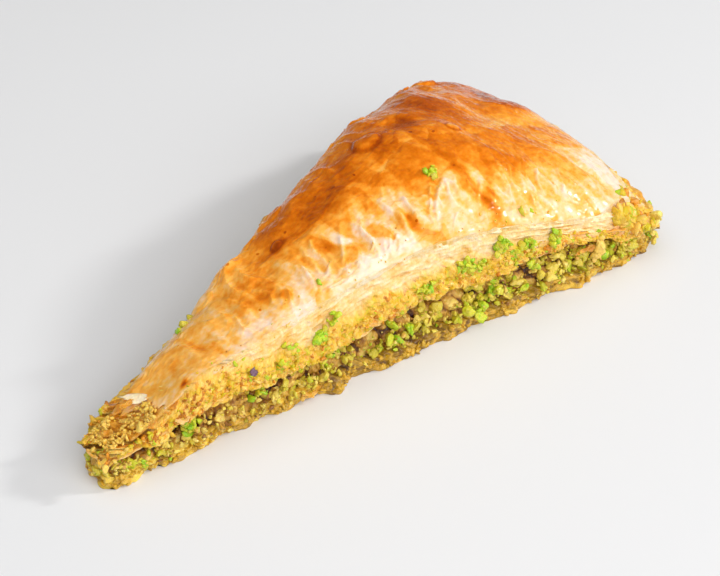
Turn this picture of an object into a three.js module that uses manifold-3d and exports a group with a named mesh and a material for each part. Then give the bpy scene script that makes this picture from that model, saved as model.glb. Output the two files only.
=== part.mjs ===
// A long wedge of baklava, cut like a carrot slice from a round tray. It is built from the table up:
// a thin soaked bottom layer, a course of chopped pistachio, and a tall puffed stack of phyllo.
// Millimetres, +Z up. The tip points to -X, the tray's rim to +X, and the cut side that shows faces -Y.
// A place on the wedge is given as u, from 0 at the tip to 1 at the rim, and v, from -1 in front to 1 behind.

import * as THREE from "three";
import { mergeVertices } from "three/addons/utils/BufferGeometryUtils.js";
import { ImprovedNoise } from "three/addons/math/ImprovedNoise.js";
import Module from "manifold-3d";

const wasm = await Module();
wasm.setup();

// Outline of the slice, seen from above
const SLICE_LENGTH = 157;
const HALF_ANGLE = THREE.MathUtils.degToRad(12.5);
const TIP_HALF_WIDTH = 4.3;
const TIP_RADIUS = TIP_HALF_WIDTH / Math.tan(HALF_ANGLE);
const RIM_WIDTH = 2 * (TIP_RADIUS + SLICE_LENGTH) * Math.sin(HALF_ANGLE);
const CORNER_ROUNDING = 6;
const TIP_ROUNDING = 2;
const CUT_HOLLOW = 2;
const HOLLOW_START = 0.12;
const HOLLOW_END = 0.88;

// Heights above the table where the courses meet the tip, and how they rise along each cut side from there:
// each step runs from one u to another and lifts the height by so much
const BOTTOM_HEIGHT = 4.2;
const BOTTOM_TIP_DROP = 0.3;
const COURSE_GAP = 0.35;
const UNDERSIDE_AT_TIP = 7.4;
const UNDERSIDE_FRONT = [[0.02, 0.08, 1.4], [0.05, 0.2, 2.6], [0.38, 0.48, 2.4], [0.78, 0.95, -5.6]];
const UNDERSIDE_BACK = [[0.02, 0.08, 1.4], [0.05, 0.5, 4], [0.8, 1, -3]];
const CRUST_AT_TIP = 10;
const CRUST_FRONT = [[0, 0.16, 6], [0.04, 0.14, 2], [0.1, 0.55, 7.5], [0.58, 1.02, -11]];
const CRUST_BACK = [[0, 0.7, 12.2], [0.04, 0.14, 2], [0.75, 1, -5.2]];
// Swells along the rim, as v, half width in v and rise
const RIM_SWELLS = [[-0.1, 0.4, 1.2], [-0.8, 0.25, -0.8]];
const RIM_SWELL_START = 0.85;

// The puffed crown: its height, where it rises from the tip, and how far in from each edge it rounds up
const CROWN_HEIGHT = 10.8;
const CROWN_START = 0.05;
const CROWN_FULL = 0.75;
const TORN_STEP = 3;
const TORN_START = 0.045;
const TORN_END = 0.07;
const FRONT_ROUNDING = { reach: 36, power: 0.8 };
const BACK_ROUNDING = { reach: 20, power: 0.7 };
const RIM_ROUNDING = { reach: 76, slant: 12, power: 0.74 };
const NOSE_ROUNDING = { reach: 26, power: 0.8 };

// Crags of the cut sides: their size along and up a side, and their share of the relief
const CRAG_KINDS = [{ along: 7, up: 3, share: 1, level: 0 }, { along: 2.7, up: 1.6, share: 0.7, level: 9 }];

// Bottom course
const BOTTOM_GRID = [40, 6, 2];
const BOTTOM_SET_BACK = 1.1;
const BOTTOM_RELIEF = 1.6;
const BOTTOM_RELIEF_STEP = 9;
const BOTTOM_BULGE = 1.2;
const BOTTOM_OVERHANG = 0.4;
// Where the bottom is drawn in or stands out along the front, as u, half width in u and depth
const BOTTOM_BAYS = [[0.22, 0.1, 1.4], [0.5, 0.13, -0.9]];

// Pistachio course
const CORE_GRID = [34, 6, 2];
const CORE_SET_BACK = 3;
const CORE_RELIEF = 0.9;
const CORE_RELIEF_LEVEL = 2;
const CORE_RELIEF_STEP = 5;
const NUT_DEPTH = 2.4;
const NUT_DEPTH_SPREAD = 0.8;
const NUT_RADIUS = 2.2;
const NUT_SIZE_SPREAD = 0.25;
const NUT_STRETCH = 0.2;
const NUT_UNEVENNESS = 0.16;
const NUT_SPACING = 4.9;
const NUT_SHIFT = 0.008;
const NUT_ROW_HEIGHT = 3.74;
const NUT_CLEARANCE = 0.3;
const NUT_ROW_GAP = 0.1;

// Top stack
const LAYER_ROWS = 7;
const STACK_GRID = [46, 14, LAYER_ROWS];
const LAYER_RELIEF = 0.45;
const CRAG_RELIEF = 0.9;
const STACK_SET_BACK = 0.6;
const STACK_LEAN = 0.3;
const CRUST_INSET = 0.9;
const CRUST_SET_BACK = 6;
const CRUST_TIP_SET_BACK = 2.5;
const DIMPLE_DEPTH = 0.7;
const DIMPLE_SIZE = 9;
const DIMPLE_LEVEL = 4;
const DIMPLE_PUFF = 3;

// Corners of thin sheets that have lifted off the top, and how deep they are rooted in the crust
const LIFTED_CORNERS = [
  { u: 0.94, v: 0.9, turn: 1, reach: 7, width: 15, lift: 1.6 },
  { u: 0.84, v: 0.97, turn: 1.5, reach: 6, width: 12, lift: 1 },
  { u: 0.69, v: 0.97, turn: 1.7, reach: 6, width: 8, lift: 0.8 },
  { u: 0.44, v: 0.97, turn: 1.9, reach: 6, width: 12, lift: 0.6 },
  { u: 0.12, v: 0.9, turn: 2.2, reach: 6, width: 7, lift: 1 },
];
const CORNER_GRID = [3, 2, 1];
const CORNER_INSET = 3;
const CORNER_ROOT = 3.5;
const CORNER_SINK = 1;
const CORNER_TAPER = 0.75;
const CORNER_THICKNESS = 1.6;
const CORNER_THINNING = 0.9;

// Crumbs on the front of the stack
const CRUMB_COUNT = 22;
const CRUMB_RADIUS = 1.2;
const CRUMB_SIZE_SPREAD = 0.3;
const CRUMB_DEPTH = 0.6;
const CRUMB_START = 0.06;
const CRUMB_END = 0.96;
const CRUMB_ABOVE_UNDERSIDE = 2;
const CRUMB_BELOW_CRUST = 1;

const { clamp, lerp, smoothstep, seededRandom } = THREE.MathUtils;
const noise = new ImprovedNoise();
seededRandom(41);

// A value spread evenly round the middle, up to the given reach on each side
function spread(reach) {
  return (2 * seededRandom() - 1) * reach;
}

// The stretches of the outline, each as a walk from 0 to 1
const EDGES = {
  front: { length: SLICE_LENGTH, at: (t) => [t, -1] },
  rim: { length: RIM_WIDTH, at: (t) => [1, 2 * t - 1] },
  back: { length: SLICE_LENGTH, at: (t) => [1 - t, 1] },
  tip: { length: 2 * TIP_HALF_WIDTH, at: (t) => [0, 1 - 2 * t] },
};

// Where a point of the wedge lies, seen from above, with its sides, rim and tip drawn in by the given amounts
function outline(u, v, side, rim = side, tip = side) {
  const edgeness = Math.abs(v);
  const rimRounding = CORNER_ROUNDING * u ** 8 * edgeness ** 5;
  const tipRounding = TIP_ROUNDING * (1 - u) ** 30 * edgeness ** 3;
  const radius = TIP_RADIUS + tip + u * (SLICE_LENGTH - rim - tip) - rimRounding + tipRounding;
  const along = clamp((u - HOLLOW_START) / (HOLLOW_END - HOLLOW_START), 0, 1);
  const hollow = v < 0 ? CUT_HOLLOW * Math.sin(Math.PI * along) ** 2 : 0;
  const angle = v * HALF_ANGLE;
  return [
    radius * Math.cos(angle) - TIP_RADIUS,
    radius * Math.sin(angle) - Math.sign(v) * (side + hollow) * edgeness ** 3,
  ];
}

// A height along a side: the height at the tip and the steps that lead on from it
function profile(height, steps, u) {
  return steps.reduce((total, [from, to, step]) => total + step * smoothstep(u, from, to), height);
}

// A sum of soft bumps, each given as its middle, half width and height
function bumps(list, place) {
  return list.reduce((total, [middle, half, height]) => (
    total + height * Math.exp(-(((place - middle) / half) ** 2))
  ), 0);
}

// Underside of the top stack, which is also the top of the pistachio
function stackUnderside(u, v) {
  const front = profile(UNDERSIDE_AT_TIP, UNDERSIDE_FRONT, u);
  const back = profile(UNDERSIDE_AT_TIP, UNDERSIDE_BACK, u);
  return lerp(front, back, (v + 1) / 2);
}

// Height at which the glossy top sheet meets the cut sides
function crustEdge(u, v) {
  const front = profile(CRUST_AT_TIP, CRUST_FRONT, u);
  const back = profile(CRUST_AT_TIP, CRUST_BACK, u);
  return lerp(front, back, (v + 1) / 2) + smoothstep(u, RIM_SWELL_START, 1) * bumps(RIM_SWELLS, v);
}

// A rounded rise from an edge: 0 at the edge and 1 from the given reach inwards
function rise(distance, reach, power) {
  return (1 - (1 - clamp(distance / reach, 0, 1)) ** 2) ** power;
}

// How far the puffed top stands above its own edge
function puff(u, v) {
  const halfWidth = (TIP_RADIUS + u * SLICE_LENGTH) * Math.sin(HALF_ANGLE);
  const crown = profile(0, [[CROWN_START, CROWN_FULL, CROWN_HEIGHT], [TORN_START, TORN_END, TORN_STEP]], u);
  const fromFront = rise((v + 1) * halfWidth, FRONT_ROUNDING.reach, FRONT_ROUNDING.power);
  const fromBack = rise((1 - v) * halfWidth, BACK_ROUNDING.reach, BACK_ROUNDING.power);
  const rimReach = RIM_ROUNDING.reach - RIM_ROUNDING.slant * v;
  const fromRim = rise((1 - u) * SLICE_LENGTH, rimReach, RIM_ROUNDING.power);
  const fromTip = rise(u * SLICE_LENGTH, NOSE_ROUNDING.reach, NOSE_ROUNDING.power);
  return crown * fromFront * fromBack * fromRim * fromTip;
}

// A box whose surface is bent into a form: bend(u, v, w) gives the point, with w from 0 below to 1 on top.
// Points crowd towards the edges, where the form bends most.
function bentBox(grid, bend) {
  const box = new THREE.BoxGeometry(1, 1, 1, ...grid);
  box.deleteAttribute("normal");
  box.deleteAttribute("uv");
  const geometry = mergeVertices(box);
  const points = geometry.attributes.position;
  for (let i = 0; i < points.count; i++) {
    const u = points.getX(i) + 0.5;
    const v = Math.sin(points.getY(i) * Math.PI);
    const w = points.getZ(i) + 0.5;
    points.setXYZ(i, ...bend(u, v, w));
  }
  return geometry;
}

function toSolid(geometry) {
  return new wasm.Manifold(new wasm.Mesh({
    numProp: 3,
    vertProperties: Float32Array.from(geometry.attributes.position.array),
    triVerts: Uint32Array.from(geometry.index.array),
  }));
}

function toGeometry(solid) {
  const mesh = solid.getMesh();
  const geometry = new THREE.BufferGeometry();
  geometry.setAttribute("position", new THREE.BufferAttribute(mesh.vertProperties, 3));
  geometry.setIndex(new THREE.BufferAttribute(mesh.triVerts, 1));
  return geometry;
}

// Joins a body and the pieces that lie in it, and leaves out any scrap that doesn't touch the body
function fuse(body, pieces) {
  let solid = toSolid(body);
  for (const piece of pieces) {
    solid = solid.add(toSolid(piece));
  }
  const parts = solid.decompose();
  parts.sort((a, b) => b.volume() - a.volume());
  return toGeometry(parts[0]);
}

// A broken nut piece: a lump with blunt corners and uneven sides
function nutPiece(x, y, z, radius, height) {
  const lump = new THREE.IcosahedronGeometry(1, 0);
  lump.deleteAttribute("normal");
  lump.deleteAttribute("uv");
  const geometry = mergeVertices(lump);
  const points = geometry.attributes.position;
  for (let i = 0; i < points.count; i++) {
    const px = points.getX(i) + spread(NUT_UNEVENNESS);
    const py = points.getY(i) + spread(NUT_UNEVENNESS);
    points.setXYZ(i, px, py, points.getZ(i));
  }
  geometry.rotateZ(seededRandom() * Math.PI * 2);
  geometry.scale(radius * (1 + spread(NUT_STRETCH)), radius * (1 + spread(NUT_STRETCH)), height);
  geometry.rotateZ(seededRandom() * Math.PI * 2);
  geometry.translate(x, y, z);
  return geometry;
}

// Crags of a torn or cut pastry edge, as a distance drawn in or pushed out
function crags(x, y, z, reach) {
  return CRAG_KINDS.reduce((total, { along, up, share, level }) => (
    total + reach * share * noise.noise(x / along, y / along, z / up + level)
  ), 0);
}

// Bottom course: thin sheets soaked with syrup, ragged, and bulging a little at half their height
function bottomPhyllo() {
  return bentBox(BOTTOM_GRID, (u, v, w) => {
    const [x, y] = outline(u, v, 0);
    const bays = v < 0 ? bumps(BOTTOM_BAYS, u) : 0;
    const bulge = BOTTOM_BULGE * 4 * w * (1 - w);
    const ragged = BOTTOM_SET_BACK + bays - bulge + crags(x, y, w * BOTTOM_RELIEF_STEP, BOTTOM_RELIEF);
    const [px, py] = outline(u, v, Math.max(ragged, -BOTTOM_OVERHANG));
    return [px, py, w * (BOTTOM_HEIGHT - BOTTOM_TIP_DROP * (1 - u))];
  });
}

// Pistachio course: a packed core with the nut pieces that show round its edges pressed into it
function pistachioFilling() {
  const floor = BOTTOM_HEIGHT + COURSE_GAP;
  const core = bentBox(CORE_GRID, (u, v, w) => {
    const [x, y] = outline(u, v, CORE_SET_BACK);
    const relief = crags(x, y, CORE_RELIEF_LEVEL + w * CORE_RELIEF_STEP, CORE_RELIEF);
    const [px, py] = outline(u, v, CORE_SET_BACK + relief);
    return [px, py, lerp(floor, stackUnderside(u, v) - COURSE_GAP, w)];
  });
  const nuts = [];
  for (const edge of Object.values(EDGES)) {
    const steps = Math.max(2, Math.round(edge.length / NUT_SPACING));
    for (let i = 0; i < steps; i++) {
      const [u, v] = edge.at((i + 0.5) / steps);
      const ceiling = stackUnderside(u, v) - COURSE_GAP - NUT_CLEARANCE;
      const rows = Math.max(1, Math.round((ceiling - floor) / NUT_ROW_HEIGHT));
      const rowHeight = (ceiling - floor) / rows;
      for (let row = 0; row < rows; row++) {
        const radius = NUT_RADIUS * (1 + spread(NUT_SIZE_SPREAD));
        const height = Math.min(radius, rowHeight / 2 - NUT_ROW_GAP);
        const [x, y] = outline(clamp(u + spread(NUT_SHIFT), 0, 1), v, NUT_DEPTH + spread(NUT_DEPTH_SPREAD));
        nuts.push(nutPiece(x, y, floor + rowHeight * (row + 0.5), radius, height));
      }
    }
  }
  return fuse(core, nuts);
}

// A lifted corner of a sheet, as a small curled wedge rooted in the crust
function liftedCorner({ u, v, turn, reach, width, lift }) {
  const [x, y] = outline(u, v, CORNER_INSET);
  const z = crustEdge(u, v) + puff(u, v) - CORNER_SINK;
  const sheet = bentBox(CORNER_GRID, (s, t, w) => {
    const taper = 1 - CORNER_TAPER * s;
    const thickness = CORNER_THICKNESS - CORNER_THINNING * s;
    return [s * reach - CORNER_ROOT, t * width * taper / 2, lift * s * s + (w - 0.5) * thickness];
  });
  sheet.rotateZ(turn);
  sheet.translate(x, y, z);
  return sheet;
}

// Top stack: many sheets whose edges show as ragged rows, under a tall glossy puffed crust
function topPhyllo() {
  const stack = bentBox(STACK_GRID, (u, v, w) => {
    const low = stackUnderside(u, v);
    const edge = crustEdge(u, v);
    const [x, y] = outline(u, v, 0);
    const rows = LAYER_RELIEF * Math.cos(Math.PI * LAYER_ROWS * w);
    const cut = STACK_SET_BACK + rows + crags(x, y, low + w * (edge - low), CRAG_RELIEF);
    const drawnIn = (w < 1 ? cut : CRUST_INSET) + STACK_LEAN * w;
    const rim = drawnIn + w * CRUST_SET_BACK * (1 - v) / 2;
    const [px, py] = outline(u, v, drawnIn, rim, drawnIn + CRUST_TIP_SET_BACK * w);
    const dimple = DIMPLE_DEPTH * noise.noise(x / DIMPLE_SIZE, y / DIMPLE_SIZE, DIMPLE_LEVEL);
    const dimpled = w === 1 ? dimple * Math.min(1, puff(u, v) / DIMPLE_PUFF) : 0;
    return [px, py, low + w * (edge + puff(u, v) - low) + dimpled];
  });
  const crumbs = [];
  for (let i = 0; i < CRUMB_COUNT; i++) {
    const u = lerp(CRUMB_START, CRUMB_END, seededRandom());
    const low = stackUnderside(u, -1) + CRUMB_ABOVE_UNDERSIDE;
    const z = lerp(low, crustEdge(u, -1) - CRUMB_BELOW_CRUST, seededRandom());
    const [x, y] = outline(u, -1, CRUMB_DEPTH);
    crumbs.push(nutPiece(x, y, z, CRUMB_RADIUS * (1 + spread(CRUMB_SIZE_SPREAD)), CRUMB_RADIUS));
  }
  return fuse(stack, [...LIFTED_CORNERS.map(liftedCorner), ...crumbs]);
}

const FINISHES = {
  bottom_phyllo: { build: bottomPhyllo, color: 0x9a7430, roughness: 0.45 },
  pistachio_filling: { build: pistachioFilling, color: 0x9c9a3c, roughness: 0.6 },
  top_phyllo: { build: topPhyllo, color: 0xdf9a48, roughness: 0.25 },
};

const slice = new THREE.Group();
for (const [name, { build, color, roughness }] of Object.entries(FINISHES)) {
  const mesh = new THREE.Mesh(build(), new THREE.MeshStandardMaterial({ color, roughness, metalness: 0 }));
  mesh.name = name;
  slice.add(mesh);
}

// The origin is at the middle of the underside
const bounds = new THREE.Box3().setFromObject(slice);
const middle = bounds.getCenter(new THREE.Vector3());
slice.position.set(-middle.x, -middle.y, -bounds.min.z);

export default slice;
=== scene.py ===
import math

import bmesh
import bpy
import numpy as np
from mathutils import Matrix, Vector


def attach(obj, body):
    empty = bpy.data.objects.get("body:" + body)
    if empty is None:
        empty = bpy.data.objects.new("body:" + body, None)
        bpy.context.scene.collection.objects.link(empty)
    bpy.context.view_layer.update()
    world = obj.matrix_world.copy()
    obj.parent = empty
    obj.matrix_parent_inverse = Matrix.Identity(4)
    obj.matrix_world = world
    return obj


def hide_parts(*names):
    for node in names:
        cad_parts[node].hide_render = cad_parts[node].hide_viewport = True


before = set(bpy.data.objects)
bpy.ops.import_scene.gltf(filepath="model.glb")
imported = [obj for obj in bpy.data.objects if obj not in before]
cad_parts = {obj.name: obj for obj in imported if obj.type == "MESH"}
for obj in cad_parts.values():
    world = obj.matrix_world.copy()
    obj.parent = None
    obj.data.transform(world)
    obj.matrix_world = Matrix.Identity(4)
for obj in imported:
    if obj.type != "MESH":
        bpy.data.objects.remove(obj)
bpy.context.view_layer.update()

# Glazed crust
# The top sheets of phyllo over a narrow wedge cut from a round tray, blown up by steam in the oven, browned
# along the crown and soaked with syrup that dries to a clear gloss. One wrinkled skin, closed underneath.

# The whole slice is shaped in millimetres from its nominal tip: u runs from the tip to the tray's rim, and
# v from the cut side in front to the one behind.
LENGTH = 157
HALF_ANGLE = math.radians(12.5)
TIP_HALF_WIDTH = 4.3
TIP_RADIUS = TIP_HALF_WIDTH / math.tan(HALF_ANGLE)
TIP_TO_ORIGIN = 78.35
RIM_HALF_WIDTH = 40
FRONT, BACK = -1, 1
CRUST_ROWS, CRUST_COLUMNS = 450, 184
FLANK_WIDTH = 15
# How far the crust's edge lies inside the slice's outline, and how far more it leans in at rim and tip
CRUST_INSET = 1.2
RIM_LEAN, TIP_LEAN = 3, 2.2
# Heights where the courses meet the tip, and how they rise along each cut side from there: each step runs
# from one u to another and lifts the height by so much
UNDERSIDE_AT_TIP = 7.4
UNDERSIDE_FRONT = [(0.02, 0.08, 1.4), (0.05, 0.2, 2.6), (0.38, 0.48, 2.4), (0.78, 0.95, -5.6)]
UNDERSIDE_BACK = [(0.02, 0.08, 1.4), (0.05, 0.5, 4), (0.8, 1, -3)]
CRUST_AT_TIP = 10
CRUST_FRONT = [(0, 0.16, 6), (0.04, 0.14, 2), (0.1, 0.55, 7.5), (0.58, 1.02, -11)]
CRUST_BACK = [(0, 0.7, 12.2), (0.04, 0.14, 2), (0.75, 1, -5.2)]
# Swells along the rim, as v, half width in v and rise
RIM_SWELLS = [(-0.1, 0.4, 1.2), (-0.8, 0.25, -0.8)]
RIM_SWELL_START = 0.85
TORN_TIP = 0.055
# Where the sheet is soaked darkest, as u, v, reach in millimetres, heading in degrees and strength
AMBER_POOLS = [(0.664, 0.34, 3.2, -45, 0.3), (0.602, 0.39, 2.2, -45, 0.2), (0.74, 0.5, 5, -45, 0.12),
               (0.45, 0.3, 7, 0, 0.1), (0.538, -0.62, 1.3, 92, 0.45), (0.59, -0.55, 0.7, 95, 0.3),
               (0.672, -0.78, 1.6, 100, 0.35), (0.69, -0.66, 1, 60, 0.2), (0.133, -0.69, 0.7, 20, 0.8),
               (0.383, 0.28, 0.8, 0, 0.5), (0.3, -0.2, 3, 0, 0.15), (0.2, -0.35, 3, 0, 0.12),
               (0.42, -0.25, 1.4, 105, 0.3), (0.45, -0.52, 1.2, 105, 0.35), (0.491, 0.37, 6, 0, 0.14)]
# Blisters left by steam, as u, v, radius and height in millimetres; the first few have a dark ring
BLISTERS = [(0.602, 0.39, 3.8, 0.9), (0.383, 0.32, 1.4, 0.6), (0.73, 0.02, 2, 0.4), (0.664, 0.36, 6, -0.5),
            (0.7, 0.1, 7, 0.7), (0.5, 0.1, 6, 0.5), (0.8, -0.05, 8, 0.6), (0.3, 0.3, 4, 0.4),
            (0.86, 0.45, 7, 0.5), (0.9, 0.88, 4, 1.2), (0.84, 0.93, 3, 1), (0.69, 0.92, 4, 1.2),
            (0.6, 0.93, 3, 0.8), (0.44, 0.9, 4, 1), (0.27, 0.85, 3, 0.7), (0.65, 0.84, 8, 1.3),
            (0.3, 0.86, 8, 1.8), (0.33, 0.9, 5, 1.8), (0.92, 0.2, 13, 1.6)]
RINGED_BLISTERS = 3
BLISTER_STRETCH = 1.3
BROAD_BLISTER = 5
# Sharp creases up the flank, as u and v of both ends, height and half width in millimetres
CREASES = [(0.524, -0.22, 0.529, -0.84, 0.9, 1.1), (0.556, -0.35, 0.544, -0.72, 0.8, 0.9),
           (0.602, -0.41, 0.564, -0.81, 0.6, 0.8), (0.622, -0.41, 0.57, -0.83, 0.8, 0.9),
           (0.625, -0.42, 0.614, -0.71, 0.7, 1), (0.684, -0.56, 0.654, -0.79, 0.7, 0.9),
           (0.441, -0.25, 0.414, -0.62, 0.8, 1), (0.466, -0.22, 0.474, -0.66, 1, 1.2),
           (0.409, -0.01, 0.404, -0.21, 0.6, 0.8), (0.509, -0.72, 0.496, -0.94, 0.5, 0.7),
           (0.769, -0.56, 0.762, -0.77, 0.9, 0.9), (0.8, -0.54, 0.774, -0.8, 0.8, 0.8),
           (0.84, -0.57, 0.827, -0.72, 0.7, 0.8), (0.7, -0.5, 0.71, -0.8, 0.6, 0.8),
           (0.375, -0.2, 0.36, -0.7, 0.6, 0.9), (0.33, -0.3, 0.32, -0.8, 0.5, 0.8),
           (0.73, -0.52, 0.72, -0.75, 0.5, 0.7)]
# Small creases between them, drawn from ranges of the start, how far it runs, the height and half width
SMALL_CREASES = 34
crease_rng = np.random.default_rng(5)
for _ in range(SMALL_CREASES):
    start_u, start_v, along, down, crest, half = crease_rng.uniform(
        (0.4, -0.8, -0.025, 0.06, 0.3, 0.5), (0.92, -0.42, 0.015, 0.16, 0.8, 0.9))
    CREASES.append((start_u, start_v, start_u + along, start_v - down, crest, half))


def smooth(value, low, high):
    t = np.clip((value - low) / (high - low), 0, 1)
    return t * t * (3 - 2 * t)


def fade(value, low, high):
    return 1 - smooth(value, low, high)


def mix(a, b, share):
    return a + (b - a) * share


def rise(distance, reach, power):
    """0 at an edge, rounding up to 1 at the given reach inwards."""
    return (1 - (1 - np.clip(distance / reach, 0, 1)) ** 2) ** power


def outline(u, v, side, rim=None, tip=None):
    """Where a point lies seen from above, with the sides, rim and tip drawn in by the given amounts."""
    rim = side if rim is None else rim
    tip = side if tip is None else tip
    edgeness = np.abs(v)
    rounding = 6 * u**8 * edgeness**5 - 2 * (1 - u) ** 30 * edgeness**3
    radius = TIP_RADIUS + tip + u * (LENGTH - rim - tip) - rounding
    hollow = np.where(v < 0, 2 * np.sin(math.pi * np.clip((u - 0.12) / 0.76, 0, 1)) ** 2, 0)
    x = radius * np.cos(v * HALF_ANGLE) - TIP_RADIUS
    y = radius * np.sin(v * HALF_ANGLE) - np.sign(v) * (side + hollow) * edgeness**3
    return x, y


def half_width(u):
    return (TIP_RADIUS + u * LENGTH) * math.sin(HALF_ANGLE)


def profile(height, steps, u):
    """A height along a side: the height at the tip and the steps that lead on from it."""
    return height + sum(step * smooth(u, start, end) for start, end, step in steps)


def bumps(places, where):
    """A sum of soft bumps, each given as its middle, half width and height."""
    return sum(height * np.exp(-(((where - middle) / half) ** 2)) for middle, half, height in places)


def crust_edge(u, v):
    front = profile(CRUST_AT_TIP, CRUST_FRONT, u)
    back = profile(CRUST_AT_TIP, CRUST_BACK, u)
    return mix(front, back, (v + 1) / 2) + smooth(u, RIM_SWELL_START, 1) * bumps(RIM_SWELLS, v)


def puff(u, v):
    crown = 10.8 * smooth(u, 0.05, 0.75) + 3 * smooth(u, 0.045, 0.07)
    from_sides = rise((v + 1) * half_width(u), 36, 0.8) * rise((1 - v) * half_width(u), 20, 0.7)
    return crown * from_sides * rise((1 - u) * LENGTH, 76 - 12 * v, 0.74) * rise(u * LENGTH, 26, 0.8)


def lattice_value(cell, seed):
    """A number between -1 and 1 for each cell, scrambled by letting its whole numbers overflow."""
    n = cell[..., 0] * 374761393 + cell[..., 1] * 668265263 + cell[..., 2] * 1442695041 + seed * 974634777
    n = (n ^ (n >> 13)) * 1274126177
    return ((n ^ (n >> 16)) & 0xFFFF) / 32767.5 - 1


def lattice(x, y, z, size):
    """The unit cell that each point falls in, and its place within it."""
    place = np.stack(np.broadcast_arrays(x / size, y / size, z / size), -1)
    cell = np.floor(place).astype(np.int64)
    return cell, place - cell


def lumps(x, y, z, size, seed):
    """Smooth random rises and dips between -1 and 1, about one for each size in millimetres."""
    cell, t = lattice(x, y, z, size)
    t = t * t * (3 - 2 * t)
    total = 0
    for corner in np.ndindex(2, 2, 2):
        weight = np.prod(np.where(corner, t, 1 - t), -1)
        total += weight * lattice_value(cell + np.array(corner), seed)
    return total


def lumps_over(x, y):
    """The lumps over points at x and y, to be called with a size, a seed and a height."""
    return lambda size, seed, z=0: lumps(x, y, z, size, seed)


def grains(x, y, z, size, seed):
    """Packed round grains of about a size: how high each point stands, and its grain's own number."""
    cell, t = lattice(x, y, z, size)
    nearest = np.full(t.shape[:-1], 2.0)
    number = np.zeros(t.shape[:-1])
    for step in np.ndindex(3, 3, 3):
        offset = np.array(step) - 1
        jitter = np.stack([lattice_value(cell + offset, seed + axis) for axis in range(3)], -1)
        away = np.linalg.norm(offset + 0.5 + 0.4 * jitter - t, axis=-1)
        closer = away < nearest
        nearest = np.where(closer, away, nearest)
        number = np.where(closer, lattice_value(cell + offset, seed + 3), number)
    return np.sqrt(np.clip(1 - (nearest / 0.8) ** 2, 0, 1)), (number + 1) / 2


def folds(along, down, spacing, seed, reach=3.2):
    """Sharp ridges that run down a slope, a given spacing apart along it: 1 on a ridge, about 0 between."""
    bend = 0.6 * spacing * lumps(along, down, 0, 2.2 * spacing, seed + 50)
    return 1 - 2 * np.abs(lumps((along + bend) / spacing, down / (reach * spacing), 0, 1, seed))


def crease_height(x, y):
    """How high a crease stands at each point: a sharp crest that dies out at both ends."""
    height = 0
    wave = 0.6 * lumps(x, y, 0, 3, 36)
    for u0, v0, u1, v1, crest, half in CREASES:
        ax, ay = outline(u0, v0, CRUST_INSET)
        bx, by = outline(u1, v1, CRUST_INSET)
        length = math.hypot(bx - ax, by - ay)
        along = ((x - ax) * (bx - ax) + (y - ay) * (by - ay)) / length**2
        across = ((x - ax) * (by - ay) - (y - ay) * (bx - ax)) / length + wave
        ends = smooth(along, -0.1, 0.25) * fade(along, 0.75, 1.1)
        height += 0.8 * crest * ends * np.clip(1 - np.abs(across) / (0.85 * half), 0, 1) ** 1.3
    return height


def crust_surface(u, v, lower=0):
    """The crust's outer face, or one lower by some depth, with the folds' ridges and the torn sheets."""
    x, y = outline(u, v, CRUST_INSET, CRUST_INSET + RIM_LEAN * (1 - v), CRUST_INSET + TIP_LEAN)
    from_front = (v + 1) * half_width(u)
    from_back = (1 - v) * half_width(u)
    from_rim = (1 - u) * LENGTH
    raised = np.clip(puff(u, v) / 2.8, 0, 1)
    flank = smooth(from_front, 0.3, 4) * fade(from_front, FLANK_WIDTH - 2, FLANK_WIDTH + 9)
    back_flank = smooth(from_back, 0.3, 4) * fade(from_back, 8, 16)
    fan = 0.5 * from_front * lumps(x, 0, 0, 21, 4)
    front_folds = 0.5 * folds(x + fan, from_front, 4.2, 5, 6) + 0.5 * folds(x - fan, from_front, 1.8, 6, 6)
    back_folds = folds(x, from_back, 4.5, 8)
    rim_folds = 0.6 * folds(y, from_rim, 5, 9) + 0.4 * folds(y, from_rim, 2.4, 10)
    long_folds = 0.7 * folds(y, x, 6, 11) + 0.3 * folds(y, x, 2.6, 12)
    slant = 0.7 * (x - y), 0.7 * (x + y)
    slant_folds = 0.85 * folds(slant[1], slant[0], 7, 13) + 0.15 * folds(slant[1], slant[0], 2.6, 14)
    crown_folds = mix(long_folds, slant_folds, smooth(u, 0.5, 0.7))
    near_rim = smooth(u, 0.84, 0.95) * (1 - flank)
    ridges = mix(crown_folds, front_folds, flank)
    ridges = mix(ridges, back_folds, back_flank)
    ridges = mix(ridges, rim_folds, near_rim)
    depth = 0.55 + 0.2 * flank + 0.4 * back_flank - 0.3 * near_rim - 0.2 * smooth(u, 0.6, 0.8) * (1 - flank)
    height = crust_edge(u, v) + puff(u, v) + raised * depth * (ridges - 0.3)
    height += raised * (0.9 * lumps(x, y, 5, 17, 15) + 0.45 * lumps(x, y, 2, 7, 16))
    height += (0.1 + 0.05 * flank) * raised * folds(x + 0.3 * y, y - 0.3 * x, 1.6, 17)
    wavy_x, wavy_y = x + 3 * lumps(x, y, 0, 6, 25), y + 3 * lumps(x, y, 0, 6, 26)
    _, sheet = grains(wavy_x / 1.6, wavy_y, 0, 11, 27)
    _, scrap = grains(wavy_x / 1.6, wavy_y, 5, 5, 30)
    sheet = mix(sheet, scrap, 0.4)
    height = height + 0.35 * raised * sheet + crease_height(x, y)
    hem = sum(smooth(edge, 0, 1) * fade(edge, 3, 6) for edge in (from_front, from_back))
    height += 0.3 * hem * raised * folds(np.minimum(from_front, from_back), x, 1, 18)
    for place_u, place_v, radius, rise_by in BLISTERS:
        px, py = outline(place_u, place_v, CRUST_INSET)
        dome = np.clip(1 - (np.hypot(x - px, (y - py) * BLISTER_STRETCH) / radius) ** 2, 0, 1)
        height += rise_by * dome ** (0.5 if radius < BROAD_BLISTER else 1.5)
    return np.stack([x, y, height - lower], -1), ridges, sheet


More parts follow.
